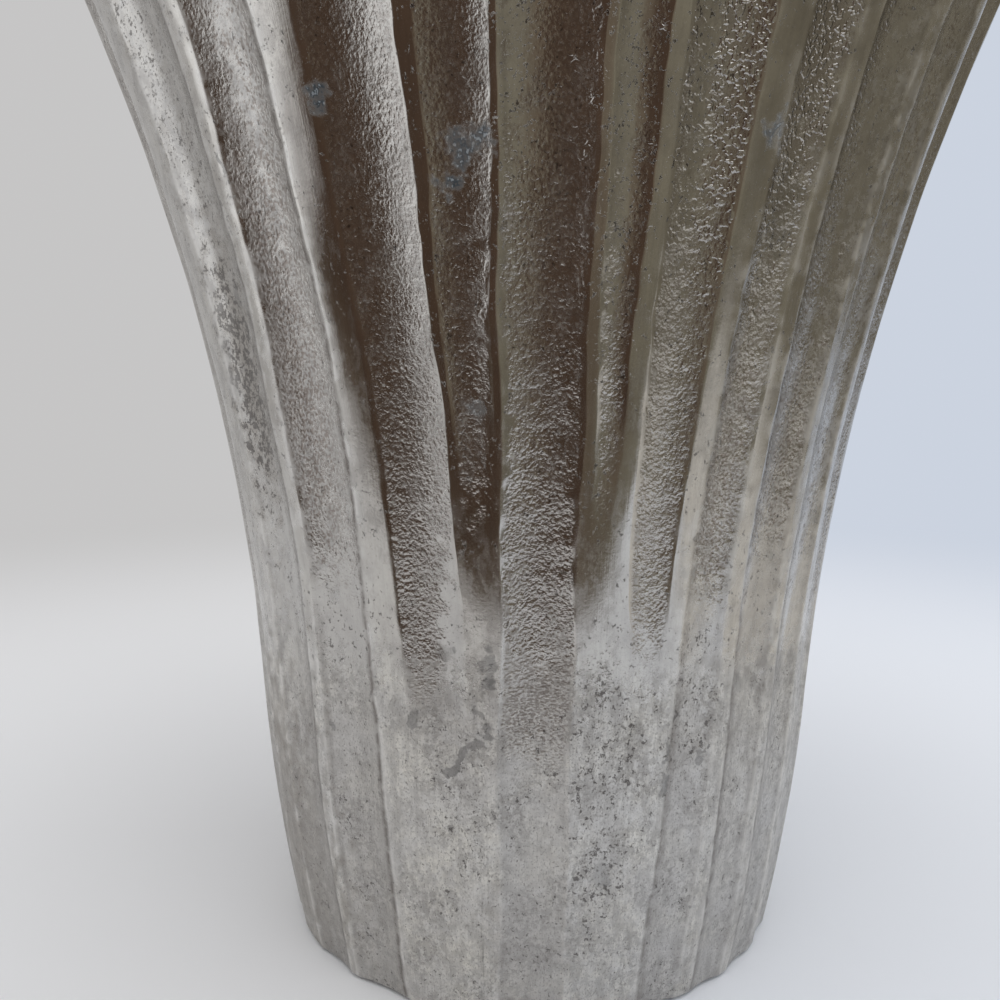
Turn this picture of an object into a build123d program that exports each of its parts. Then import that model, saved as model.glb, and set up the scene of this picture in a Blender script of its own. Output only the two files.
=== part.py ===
from build123d import *
import os
from collections import namedtuple
from math import asin, cos, radians, sin

# Fluted urn vase, sand cast in raw aluminium, with a screwed-on base plate and a lift-out water liner.
# Millimetres. +Z is up, the origin is on the table under the centre, and the front faces -Y.

# Outside of the casting, measured over the ridges between the flutes
VASE_HEIGHT = 295.0
FOOT_GAP = 0.8  # the felt pads hold the casting this far off the table
WAIST_HEIGHT = 65.0  # the side curves in towards the foot below this, and flares above it
WAIST_RADIUS = 73.2
WAIST_LEAN = 3.4  # degrees that the side leans out at the waist
FLARE_CURVE = 540.0  # radius of the side's arc above the waist
FOOT_CURVE = 490.0  # radius of the side's arc below the waist

# Flutes of one half turn, in degrees from the front towards +X, and their repeat on the other half
# A flute with a start runs out to nothing at that height, and the others reach the foot.
Flute = namedtuple("Flute", "foot_angle rim_angle foot_width rim_width start")
HALF_TURN_FLUTES = (
    Flute(-47.3, -51.0, 12.0, 12.0, 0.0),
    Flute(-33.0, -36.0, 12.5, 10.5, 0.0),
    Flute(-16.5, -20.0, 3.0, 12.0, 62.0),
    Flute(-8.3, -8.6, 1.5, 9.5, 102.0),
    Flute(-0.5, 2.0, 11.0, 10.0, 0.0),
    Flute(9.5, 10.9, 1.5, 6.2, 108.0),
    Flute(17.0, 20.5, 3.0, 10.5, 66.0),
    Flute(26.0, 31.5, 10.0, 8.5, 0.0),
    Flute(39.5, 43.5, 10.0, 9.5, 0.0),
    Flute(52.0, 54.5, 10.0, 8.0, 0.0),
    Flute(65.0, 65.0, 10.0, 9.5, 0.0),
    Flute(73.0, 73.0, 1.5, 5.0, 110.0),
    Flute(81.0, 81.0, 10.0, 9.5, 0.0),
    Flute(94.0, 94.0, 3.0, 10.0, 70.0),
    Flute(102.5, 102.5, 1.5, 5.0, 104.0),
    Flute(111.0, 112.0, 10.5, 10.0, 0.0),
)
HALF_TURN = 180.0
RUN_OUT_POWER = 0.35  # how quickly a flute that runs out widens above its start
FOOT_HOLLOW = 0.08  # depth of a flute as a share of its width, at the foot and at the rim
RIM_HOLLOW = 0.17
SECTION_COUNT = 9  # cross-sections that the outside is lofted through

# Inside of the casting
WALL = 4.5  # thickness behind the deepest flute
LIP_CHAMFER = 1.5
FLANGE_THICKNESS = 8.0  # inner flange that the base plate is screwed to
FLANGE_WIDTH = 13.0
FOOT_RING = 5.0  # wall round the base plate at the foot

# Base plate, gasket, screws and pads
PLATE_THICKNESS = 5.0
PLATE_RECESS = 2.0  # underside of the plate above the foot's edge
PLATE_CLEARANCE = 0.3
PLATE_CHAMFER = 0.6
GASKET_THICKNESS = 2.0
SCREW_COUNT = 4
SCREW_DIAMETER = 4.0
SCREW_LENGTH = 12.0
SCREW_HEAD_DIAMETER = 7.6
SCREW_SOCKET = 2.5  # across the flats
SCREW_SOCKET_DEPTH = 1.4
SCREW_CLEARANCE = 0.1  # round the screw in its holes
HOLE_MARGIN = 1.5  # tapped hole beyond the screw's end
PAD_COUNT = 4
PAD_DIAMETER = 18.0
PAD_EDGE_INSET = 3.0  # pad's edge inside the plate's edge

# Water liner
LINER_WALL = 1.6
LINER_TOP = 225.0  # height of its lip above the table
LINER_CLEARANCE = 2.0  # to the casting at the tightest height
LINER_SEAT_MARGIN = 4.0  # foot of the liner inside the flange's outer edge
LINER_LIP = 3.0  # overhang of the lip
LINER_LIP_HEIGHT = 5.0
LINER_BASE_RISE = 3.0  # middle of the liner's floor above its foot ring
LINER_FOOT_RING = 8.0
LINER_STEPS = 40  # heights at which the liner's clearance is looked at


def ridge_radius(height):
    """Outside radius over the ridges: one arc below the waist and one above it, tangent there."""
    lean = radians(WAIST_LEAN)
    above = height - WAIST_HEIGHT
    curve = FLARE_CURVE if above > 0 else FOOT_CURVE
    local_lean = asin(sin(lean) + abs(above) / curve)
    swing = curve * (cos(lean) - cos(local_lean))
    return WAIST_RADIUS + swing if above > 0 else WAIST_RADIUS - swing


def climb(height, start):
    """How far a height is between a start and the rim, from 0 to 1."""
    return max(0.0, (height - start) / (VASE_HEIGHT - start))


def flute_shape(flute, height):
    """Centre and width of a flute in degrees, and its depth, at a height."""
    rise = climb(height, FOOT_GAP)
    centre = flute.foot_angle + (flute.rim_angle - flute.foot_angle) * rise
    growth = climb(height, flute.start) ** RUN_OUT_POWER if flute.start else rise
    width = flute.foot_width + (flute.rim_width - flute.foot_width) * growth
    hollow = FOOT_HOLLOW + (RIM_HOLLOW - FOOT_HOLLOW) * rise
    depth = hollow * ridge_radius(height) * radians(width)
    return centre, width, depth if growth > 0 or not flute.start else 0.0


def deepest_flute(height):
    return max(flute_shape(flute, height)[2] for flute in HALF_TURN_FLUTES)


def cavity_radius(height):
    return ridge_radius(height) - deepest_flute(height) - WALL


def around(radius, angle, height):
    """Point at an angle from the front, counted towards +X."""
    return (radius * sin(radians(angle)), -radius * cos(radians(angle)), height)


def fluted_section(height):
    """Closed outline of the casting at a height: a hollow arc for each flute and a ridge between flutes."""
    radius = ridge_radius(height)
    flutes = []
    for turn in (0.0, HALF_TURN):
        for flute in HALF_TURN_FLUTES:
            centre, width, depth = flute_shape(flute, height)
            flutes.append((centre + turn - width / 2, centre + turn + width / 2, depth))
    edges = []
    for index, (left, right, depth) in enumerate(flutes):
        next_left = flutes[(index + 1) % len(flutes)][0]
        if next_left < left:
            next_left += 2 * HALF_TURN
        floor = around(radius - depth, (left + right) / 2, height)
        ridge = around(radius, (right + next_left) / 2, height)
        start, end = around(radius, left, height), around(radius, right, height)
        edges.append(Edge.make_three_point_arc(start, floor, end))
        edges.append(Edge.make_three_point_arc(end, ridge, around(radius, next_left, height)))
    return Wire(edges)


def turned(*outline):
    """Solid turned about the vase's axis from lines and curves in radius and height."""
    return revolve(Plane.XZ * make_face(list(outline)), Axis.Z)


def ring_of(count, radius, first_angle=0.0):
    """Places spaced evenly on a circle about the axis."""
    return PolarLocations(radius, count, first_angle)


# Heights and radii that the pieces share
FOOT_RADIUS = ridge_radius(FOOT_GAP)
PLATE_SEAT_RADIUS = FOOT_RADIUS - deepest_flute(FOOT_GAP) - FOOT_RING
PLATE_BOTTOM = FOOT_GAP + PLATE_RECESS
PLATE_TOP = PLATE_BOTTOM + PLATE_THICKNESS
FLANGE_BOTTOM = PLATE_TOP + GASKET_THICKNESS
FLANGE_TOP = FLANGE_BOTTOM + FLANGE_THICKNESS
FLANGE_RADIUS = PLATE_SEAT_RADIUS - FLANGE_WIDTH
PLATE_RADIUS = PLATE_SEAT_RADIUS - PLATE_CLEARANCE
SCREW_CIRCLE = FLANGE_RADIUS + FLANGE_WIDTH / 2
SCREW_HEAD_HEIGHT = (SCREW_HEAD_DIAMETER - SCREW_DIAMETER) / 2
PAD_CIRCLE = PLATE_RADIUS - PAD_EDGE_INSET - PAD_DIAMETER / 2
SCREW_PLACES = ring_of(SCREW_COUNT, SCREW_CIRCLE)
PAD_PLACES = ring_of(PAD_COUNT, PAD_CIRCLE, HALF_TURN / PAD_COUNT)


def cavity_arc(bottom, top):
    """Arc of the cavity's side between two heights."""
    heights = (bottom, (bottom + top) / 2, top)
    return ThreePointArc(*[(cavity_radius(height), height) for height in heights])


def screw_holes(bottom, top):
    """Clearance holes for the screws between two heights."""
    radius = SCREW_DIAMETER / 2 + SCREW_CLEARANCE
    return [place * Pos(0, 0, bottom) * extrude(Circle(radius), top - bottom) for place in SCREW_PLACES]


def make_vase_body():
    """Fluted casting, with its cavity, the flange and the recess for the base plate."""
    step = (VASE_HEIGHT - FOOT_GAP) / (SECTION_COUNT - 1)
    outside = Solid.make_loft([fluted_section(FOOT_GAP + step * i) for i in range(SECTION_COUNT)])
    lip = VASE_HEIGHT - LIP_CHAMFER
    over = VASE_HEIGHT + LIP_CHAMFER
    throat_radius = cavity_radius(lip)
    mouth = Polyline(
        (throat_radius, lip),
        (throat_radius + 2 * LIP_CHAMFER, over),
        (0, over),
        (0, 0),
        (PLATE_SEAT_RADIUS, 0),
    )
    recess = Polyline(
        (PLATE_SEAT_RADIUS, 0),
        (PLATE_SEAT_RADIUS, FLANGE_BOTTOM),
        (FLANGE_RADIUS, FLANGE_BOTTOM),
        (FLANGE_RADIUS, FLANGE_TOP),
        (cavity_radius(FLANGE_TOP), FLANGE_TOP),
    )
    cavity = turned(cavity_arc(FLANGE_TOP, WAIST_HEIGHT), cavity_arc(WAIST_HEIGHT, lip), mouth, recess)
    tapped_top = PLATE_BOTTOM + SCREW_LENGTH + HOLE_MARGIN
    return outside - cavity - screw_holes(FLANGE_BOTTOM, tapped_top)


def make_screw(allowance=0.0):
    """Countersunk screw pointing up from its head's face at the origin, or the room that it takes up."""
    shank = SCREW_DIAMETER / 2 + allowance
    head = SCREW_HEAD_DIAMETER / 2 + allowance
    outline = Polyline(
        (0, 0), (head, 0), (shank, SCREW_HEAD_HEIGHT), (shank, SCREW_LENGTH), (0, SCREW_LENGTH), close=True
    )
    return turned(outline)


def make_base_plate():
    """Turned disc with a chamfered lower edge and countersunk holes."""
    disc = Pos(0, 0, PLATE_BOTTOM) * extrude(Circle(PLATE_RADIUS), PLATE_THICKNESS)
    disc = chamfer(disc.edges().group_by(Axis.Z)[0], PLATE_CHAMFER)
    room = Pos(0, 0, PLATE_BOTTOM) * make_screw(SCREW_CLEARANCE)
    return disc - [place * room for place in SCREW_PLACES]


def make_base_gasket():
    """Flat ring between the plate and the flange."""
    ring = Circle(PLATE_RADIUS) - Circle(FLANGE_RADIUS)
    return Pos(0, 0, PLATE_TOP) * extrude(ring, GASKET_THICKNESS) - screw_holes(PLATE_TOP, FLANGE_BOTTOM)


def make_base_screws():
    """All the screws, with their hexagon sockets, standing in the plate from below."""
    socket = extrude(RegularPolygon(SCREW_SOCKET / 2, 6, major_radius=False), SCREW_SOCKET_DEPTH)
    screw = Pos(0, 0, PLATE_BOTTOM) * (make_screw() - socket)
    return Compound([place * screw for place in SCREW_PLACES])


def make_felt_pads():
    """Round pads, punched from felt and stuck under the plate, which the vase stands on."""
    pad = extrude(Circle(PAD_DIAMETER / 2), PLATE_BOTTOM)
    return [place * pad for place in PAD_PLACES]


def make_water_liner():
    """Tapered cup with a raised floor and an overhanging lip, as wide as the casting's waist lets through."""
    foot = cavity_radius(FLANGE_TOP) - LINER_SEAT_MARGIN - LINER_CLEARANCE
    height = LINER_TOP - FLANGE_TOP
    looks = [FLANGE_TOP + height * i / LINER_STEPS for i in range(1, LINER_STEPS + 1)]
    taper = min((cavity_radius(look) - LINER_CLEARANCE - foot) / (look - FLANGE_TOP) for look in looks)
    lip_bottom = LINER_TOP - LINER_LIP_HEIGHT
    reach = foot + taper * (lip_bottom - FLANGE_TOP)
    floor = FLANGE_TOP + LINER_BASE_RISE
    inner_foot = foot - LINER_WALL + taper * (LINER_BASE_RISE + LINER_WALL)
    outline = Polyline(
        (0, floor),
        (foot - LINER_FOOT_RING, floor),
        (foot - LINER_FOOT_RING, FLANGE_TOP),
        (foot, FLANGE_TOP),
        (reach, lip_bottom),
        (reach + LINER_LIP, lip_bottom),
        (reach + LINER_LIP, LINER_TOP),
        (reach - LINER_WALL + taper * LINER_LIP_HEIGHT, LINER_TOP),
        (inner_foot, floor + LINER_WALL),
        (0, floor + LINER_WALL),
        close=True,
    )
    return turned(outline)


nodes = {
    "vase_body": make_vase_body(),
    "base_plate": make_base_plate(),
    "base_gasket": make_base_gasket(),
    "base_screws": make_base_screws(),
    "water_liner": make_water_liner(),
}
for number, felt_pad in enumerate(make_felt_pads(), start=1):
    nodes[f"felt_pad_{number}"] = felt_pad

os.makedirs("parts", exist_ok=True)
for name, shape in nodes.items():
    export_step(shape, f"parts/{name}.step")
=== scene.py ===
from collections import namedtuple

import bpy
import numpy as np
from mathutils import Euler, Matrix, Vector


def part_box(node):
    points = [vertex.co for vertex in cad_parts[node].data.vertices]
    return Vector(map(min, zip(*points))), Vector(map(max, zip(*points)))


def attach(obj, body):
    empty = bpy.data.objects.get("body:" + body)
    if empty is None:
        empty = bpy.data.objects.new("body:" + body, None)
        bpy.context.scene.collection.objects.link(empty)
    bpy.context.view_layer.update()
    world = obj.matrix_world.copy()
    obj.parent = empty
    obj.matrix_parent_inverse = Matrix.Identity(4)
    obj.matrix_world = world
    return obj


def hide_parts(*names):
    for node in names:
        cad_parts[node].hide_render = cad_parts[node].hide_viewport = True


# Fluted urn vase in raw sand-cast aluminium on a pale table
# Metres, +Z up, and the photographed front faces -Y.
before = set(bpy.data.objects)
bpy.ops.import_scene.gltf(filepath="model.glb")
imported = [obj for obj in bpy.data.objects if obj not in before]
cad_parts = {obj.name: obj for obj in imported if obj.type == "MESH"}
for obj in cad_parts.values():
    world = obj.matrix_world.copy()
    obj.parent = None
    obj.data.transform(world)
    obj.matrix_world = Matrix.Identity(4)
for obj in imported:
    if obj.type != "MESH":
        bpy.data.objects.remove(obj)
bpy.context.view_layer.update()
MM = 0.001

# Camera, fitted to the photograph
CAMERA_DISTANCE = 271.9 * MM  # in front of the vase's axis
CAMERA_HEIGHT = 145.9 * MM
CAMERA_PITCH = 7.55  # degrees down
CAMERA_YAW = 1.95  # degrees to the left
CAMERA_ROLL = 0.22  # degrees anticlockwise
LENS = 36.0
SENSOR = 36.0
CLIP_START = 10.0 * MM

# Outside of the casting over its ridges, as in the solid
WAIST_HEIGHT = 65.0 * MM
WAIST_RADIUS = 73.2 * MM
WAIST_LEAN = np.radians(3.4)
FLARE_CURVE = 540.0 * MM
FOOT_CURVE = 490.0 * MM

# Flutes of one half turn, in degrees from the front towards +X, and their repeat on the other half
# A flute with a start, in millimetres, runs out to nothing at that height. The sand grain of a flute has
# a strength, and fades out at its lower end, in millimetres. The edges are rounded over some millimetres.
# The lines along the edges, a painted highlight on each edge and painted shade in the crease beside it, have
# a strength too, and so has the painted shade in the flutes at the foot.
Flute = namedtuple("Flute", "foot_angle rim_angle foot_width rim_width start grain_end grain edge line soot")
HALF_TURN_FLUTES = (
    Flute(-47.3, -51.0, 12.0, 12.0, 0.0, 104.0, 0.4, 1.4, 0.8, 0.7),
    Flute(-32.1, -36.7, 14.3, 9.1, 0.0, 92.0, 0.9, 0.8, 1.0, 0.6),
    Flute(-13.5, -22.2, 10.7, 10.7, 50.0, 72.0, 1.0, 0.3, 0.1, 0.0),
    Flute(-8.3, -8.6, 1.5, 9.5, 102.0, 112.0, 1.0, 0.3, 0.1, 0.0),
    Flute(0.1, 2.0, 12.3, 10.0, 0.0, 58.0, 1.0, 0.35, 0.3, 0.3),
    Flute(9.5, 10.9, 1.5, 6.2, 108.0, 116.0, 0.85, 0.5, 0.1, 0.0),
    Flute(17.0, 20.5, 3.0, 10.5, 66.0, 80.0, 0.95, 0.6, 0.2, 0.0),
    Flute(26.0, 34.0, 10.0, 6.0, 0.0, 92.0, 1.0, 1.0, 0.8, 0.45),
    Flute(39.5, 43.5, 10.0, 9.5, 0.0, 96.0, 0.75, 0.5, 1.0, 0.4),
    Flute(52.0, 54.5, 10.0, 8.0, 0.0, 88.0, 0.5, 0.6, 1.0, 0.3),
    Flute(65.0, 65.0, 10.0, 9.5, 0.0, 78.0, 0.9, 0.6, 0.6, 0.5),
    Flute(73.0, 73.0, 1.5, 5.0, 110.0, 116.0, 0.9, 0.5, 0.1, 0.0),
    Flute(81.0, 81.0, 10.0, 9.5, 0.0, 70.0, 1.0, 0.4, 0.5, 0.4),
    Flute(94.0, 94.0, 3.0, 10.0, 70.0, 84.0, 0.8, 0.5, 0.2, 0.0),
    Flute(102.5, 102.5, 1.5, 5.0, 104.0, 112.0, 0.9, 0.5, 0.1, 0.0),
    Flute(111.0, 112.0, 10.5, 10.0, 0.0, 66.0, 0.8, 0.9, 0.7, 0.5),
)
HALF_TURN = 180.0
RUN_OUT_POWER = 0.35
FOOT_HOLLOW = 0.08
RIM_HOLLOW = 0.17
RUN_OUT_EASE = 45.0 * MM  # height over which a starting flute comes to its full depth

# Inside of the casting
WALL = 4.5 * MM
LIP_CHAMFER = 1.5 * MM
FLANGE_WIDTH = 13.0 * MM
PLATE_CLEARANCE = 0.3 * MM
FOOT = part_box("vase_body")[0].z
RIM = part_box("vase_body")[1].z
FLANGE_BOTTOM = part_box("base_gasket")[1].z
FLANGE_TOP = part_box("water_liner")[0].z
PLATE_SEAT_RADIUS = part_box("base_plate")[1].x + PLATE_CLEARANCE
FLANGE_RADIUS = PLATE_SEAT_RADIUS - FLANGE_WIDTH

# Mesh of the casting
FLUTE_COLUMNS = 13
RIDGE_COLUMNS = 4
OUTER_ROWS = 240
INNER_ROWS = 40
ROUNDING_ROWS = 4
LIP_ROUNDING = 0.8 * MM
FOOT_ROUNDING = 0.6 * MM
CORNER_ROUNDING = 0.5 * MM
ROW_MARGIN = 0.1 * MM  # what every row of the texture map has at least
FULL_EDGE_DEPTH = 0.6 * MM  # depth from which a flute has full edges
EDGE_DROP = 0.25  # how far the ridges' edges are worn down, as a share of their rounding
CRISP_EDGE = 0.3 * MM  # rounding of an edge that isn't worn, and of all edges at the foot
WORN_FROM = 60.0 * MM
WORN_FULL = 140.0 * MM
HIGHLIGHT_REACH = 0.6 * MM  # how much wider the painted highlight on an edge is than its rounding
CREASE_SHADE_PLACE = 1.1 * MM  # the line of painted shade along a flute's edge: how far in, and how wide
CREASE_SHADE_WIDTH = 0.8 * MM
CREASE_SHADE_LEAN = 0.45  # how much more painted shade falls on the slope nearer the front than on the other
FLUTE_SHADE_FULL = 60.0 * MM  # the painted shade in the flutes is full below this height, and gone above the other
FLUTE_SHADE_NONE = 110.0 * MM
FLUTE_SHADE_LEAN = 0.8

# Unevenness of the casting, as size and height of the relief
Relief = namedtuple("Relief", "size height seed")
HAND_WANDER = Relief(55.0 * MM, 0.22, 11)  # degrees that the flutes' edges wander
EDGE_WANDER = Relief(8.0 * MM, 0.06, 16)
RIDGE_WAVES = Relief(34.0 * MM, 0.06 * MM, 12)
FLUTE_LUMPS = Relief(9.0 * MM, 0.035 * MM, 13)
FLUTE_PEBBLES = Relief(3.6 * MM, 0.025 * MM, 14)
INSIDE_LUMPS = Relief(8.0 * MM, 0.15 * MM, 15)
RELIEF_WAVES = 48
WAVE_STRETCH = (0.7, 1.4)
MEAN_RADIUS = 90.0 * MM

# Grain of the flutes: how it fades in upwards, and from a flute's edge inwards
GRAIN_BELOW = 18.0 * MM
GRAIN_ABOVE = 34.0 * MM
GRAIN_EDGE = 0.8 * MM
GRAIN_TAPER = 0.7  # how much sooner the grain fades at a flute's sides than at its middle


def ridge_radius(height):
    """Outside radius over the ridges: one arc below the waist and one above it, tangent there."""
    above = np.asarray(height) - WAIST_HEIGHT
    curve = np.where(above > 0, FLARE_CURVE, FOOT_CURVE)
    lean = np.arcsin(np.sin(WAIST_LEAN) + np.abs(above) / curve)
    return WAIST_RADIUS + np.sign(above) * curve * (np.cos(WAIST_LEAN) - np.cos(lean))


def smooth_step(value, low, high):
    """Eased climb from 0 at low to 1 at high."""
    part = np.clip((value - low) / (high - low), 0.0, 1.0)
    return part * part * (3.0 - 2.0 * part)


def flute_shape(flute, height):
    """Centre and width of a flute in degrees, and its depth, at each height."""
    rise = np.clip((height - FOOT) / (RIM - FOOT), 0.0, 1.0)
    start = flute.start * MM
    growth = np.clip((height - start) / (RIM - start), 0.0, 1.0) ** RUN_OUT_POWER if start else rise
    centre = flute.foot_angle + (flute.rim_angle - flute.foot_angle) * rise
    width = flute.foot_width + (flute.rim_width - flute.foot_width) * growth
    hollow = FOOT_HOLLOW + (RIM_HOLLOW - FOOT_HOLLOW) * rise
    depth = hollow * ridge_radius(height) * np.radians(width)
    return centre, width, depth * smooth_step(height, start, start + RUN_OUT_EASE) if start else depth


def cavity_radius(height):
    deepest = max(flute_shape(flute, np.asarray(height))[2] for flute in HALF_TURN_FLUTES)
    return ridge_radius(height) - deepest - WALL


def relief(kind, angle, height):
    """Uneven relief that closes round the vase: waves of one length, in all directions on the surface."""
    random = np.random.default_rng(kind.seed)
    total = np.zeros(np.broadcast(angle, height).shape)
    for _ in range(RELIEF_WAVES):
        heading, phase = random.uniform(0.0, 2.0 * np.pi, 2)
        stretch = random.uniform(*WAVE_STRETCH)
        waves = 2.0 * np.pi / (kind.size * stretch)
        repeats = np.round(waves * np.cos(heading) * MEAN_RADIUS)
        total += np.cos(repeats * angle + waves * np.sin(heading) * height + phase)
    return kind.height * total / np.sqrt(RELIEF_WAVES / 2)


Cut = namedtuple("Cut", "left right depth grain reach line soot to_front")
Columns = namedtuple("Columns", "angle hollow grain edge share dirt soot")


def flute_cuts(heights):
    """Edges in degrees, depth, grain, rounding, line, painted shade and front side of every flute, by
    height.
    """
    cuts = []
    for turn in (0.0, HALF_TURN):
        for flute in HALF_TURN_FLUTES:
            centre, width, depth = flute_shape(flute, heights)
            edges = []
            for side in (-1.0, 1.0):
                edge = centre + turn + side * width / 2
                wanders = [relief(kind, np.radians(edge), heights) for kind in (HAND_WANDER, EDGE_WANDER)]
                edges.append(edge + sum(wanders))
            end = flute.grain_end * MM
            grain = flute.grain * smooth_step(heights, end - GRAIN_BELOW, end + GRAIN_ABOVE)
            reach = CRISP_EDGE + (flute.edge * MM - CRISP_EDGE) * smooth_step(heights, WORN_FROM, WORN_FULL)
            # Painted shade in the flute, fading out above the foot
            soot = flute.soot * (1.0 - smooth_step(heights, FLUTE_SHADE_FULL, FLUTE_SHADE_NONE))
            to_front = -np.sign(np.sin(np.radians(flute.foot_angle + turn)))
            cuts.append(Cut(*edges, depth, grain, reach[:, None], flute.line, soot[:, None], to_front))
    return cuts


def flute_columns(cut, radius):
    """Columns of points across a flute."""
    across = np.sin(np.linspace(-0.5, 0.5, FLUTE_COLUMNS) * np.pi)
    half = (cut.right - cut.left)[:, None] / 2
    from_edge = (1.0 - np.abs(across)) * np.radians(half) * radius
    inner = smooth_step(from_edge, 0.0, GRAIN_EDGE + cut.reach)
    sharp = edge_sharpness(cut.depth)
    grain = cut.grain[:, None]
    tapered = np.clip((1.0 + GRAIN_TAPER) * grain - GRAIN_TAPER * across**2, 0.0, grain)
    # A pale line of painted highlight along the edge
    edge_highlight = np.exp(-from_edge / (cut.reach + HIGHLIGHT_REACH))
    # A dark line of painted shade a little way in from the edge, stronger on the slope nearer the front
    shaded_crease = np.exp(-(((from_edge - CREASE_SHADE_PLACE) / CREASE_SHADE_WIDTH) ** 2))
    leaning = (1.0 + CREASE_SHADE_LEAN * cut.to_front * across) / (1.0 + CREASE_SHADE_LEAN)
    return Columns(
        angle=(cut.left + cut.right)[:, None] / 2 + half * across,
        hollow=cut.depth[:, None] * (1.0 - across**2) + worn_down(from_edge, cut),
        grain=tapered * inner,
        edge=edge_highlight * sharp * cut.line,
        share=sharp * inner,
        dirt=cut.line * sharp * shaded_crease * leaning,
        # painted shade in the flute, darker on the slope nearer the front
        soot=cut.soot * sharp * inner * (1.0 + FLUTE_SHADE_LEAN * cut.to_front * across),
    )


def ridge_columns(cut, next_cut, radius):
    """Columns of points across the ridge between two flutes."""
    along = (1.0 - np.cos(np.linspace(0.0, np.pi, RIDGE_COLUMNS + 2)[1:-1])) / 2
    ridge = (next_cut.left - cut.right)[:, None]
    span = np.radians(ridge) * radius
    hollow, highlight = 0.0, 0.0
    for side, from_edge in ((cut, along * span), (next_cut, (1.0 - along) * span)):
        # Painted highlight along both edges of the ridge
        edge_highlight = np.exp(-from_edge / (side.reach + HIGHLIGHT_REACH)) * edge_sharpness(side.depth)
        highlight = np.maximum(highlight, edge_highlight * side.line)
        hollow = hollow + worn_down(from_edge, side)
    none = np.zeros(hollow.shape)
    return Columns(cut.right[:, None] + ridge * along, hollow, none, highlight, none, none, none)


def fluted_columns(heights):
    """Columns of points round the vase, with their angles in radians."""
    radius = ridge_radius(heights)[:, None]
    cuts = flute_cuts(heights)
    following = cuts[1:] + [cuts[0]._replace(left=cuts[0].left + 2 * HALF_TURN)]
    parts = []
    for cut, next_cut in zip(cuts, following):
        parts += [flute_columns(cut, radius), ridge_columns(cut, next_cut, radius)]
    columns = Columns(*(np.hstack(field) for field in zip(*parts)))
    return columns._replace(angle=np.radians(columns.angle))


def worn_down(from_edge, cut):
    """How far the metal beside a flute's edge is worn down."""
    drop = EDGE_DROP * (cut.reach - CRISP_EDGE)
    return drop * np.exp(-from_edge / cut.reach) * edge_sharpness(cut.depth)


def edge_sharpness(depth):
    """How much of an edge a flute of this depth has, from none to full."""
    return smooth_step(depth, 0.0, FULL_EDGE_DEPTH)[:, None]


def rounded(corners, size):
    """Outline of radius and height with each inner corner cut in two close points."""
    points = [corners[0]]
    for before, corner, after in zip(corners, corners[1:], corners[2:]):
        for other in (before, after):
            reach = np.hypot(other[0] - corner[0], other[1] - corner[1])
            share = size / reach
            points.append(tuple(corner[k] + (other[k] - corner[k]) * share for k in range(2)))
    return points + [corners[-1]]


def inside_outline():
    """Radius and height of the turned surfaces, from the lip down the cavity to the foot."""
    lip = RIM - LIP_CHAMFER
    throat = float(cavity_radius(lip))
    heights = np.linspace(lip, FLANGE_TOP, INNER_ROWS)
    cavity = [(float(cavity_radius(height)), height) for height in heights]
    flange = [
        cavity[-1],
        (FLANGE_RADIUS, FLANGE_TOP),
        (FLANGE_RADIUS, FLANGE_BOTTOM),
        (PLATE_SEAT_RADIUS, FLANGE_BOTTOM),
        (PLATE_SEAT_RADIUS, FOOT),
    ]
    return [(throat + LIP_CHAMFER, RIM)] + cavity + rounded(flange, CORNER_ROUNDING)[1:]


Grid = namedtuple("Grid", "angle radius height grain edge share dirt soot")


def outside_grid():
    """Points of the fluted outside, from the foot up to the lip."""
    turn = np.linspace(0.0, np.pi / 2, ROUNDING_ROWS)
    heights = np.concatenate([
        FOOT + FOOT_ROUNDING * (1.0 - np.cos(turn)),
        np.linspace(FOOT + FOOT_ROUNDING, RIM - LIP_ROUNDING, OUTER_ROWS)[1:-1],
        RIM - LIP_ROUNDING * (1.0 - np.sin(turn)),
    ])
    inset = np.concatenate([
        FOOT_ROUNDING * (1.0 - np.sin(turn)),
        np.zeros(OUTER_ROWS - 2),
        LIP_ROUNDING * (1.0 - np.cos(turn)),
    ])[:, None]
    angle, hollow, grain, edge, share, dirt, soot = fluted_columns(heights)
    height = np.broadcast_to(heights[:, None], angle.shape)
    lumps = relief(FLUTE_LUMPS, angle, height) + relief(FLUTE_PEBBLES, angle, height)
    radius = ridge_radius(height) - hollow + grain * lumps + relief(RIDGE_WAVES, angle, height)
    radius = np.minimum(radius, ridge_radius(height)) - inset
    return Grid(angle, radius, height, grain, edge, share, dirt, soot)


def inside_grid():
    """Points of the inside, from the lip down to the foot, under the same columns as the outside."""
    outline = np.array(inside_outline())
    angle = fluted_columns(outline[:, 1]).angle
    height = np.broadcast_to(outline[:, 1:], angle.shape)
    cast = smooth_step(height, FLANGE_TOP, FLANGE_TOP + CORNER_ROUNDING)
    radius = outline[:, :1] + cast * relief(INSIDE_LUMPS, angle, height)
    none = np.zeros(angle.shape)
    return Grid(angle, radius, height, cast, none, none, none, none)


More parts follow.
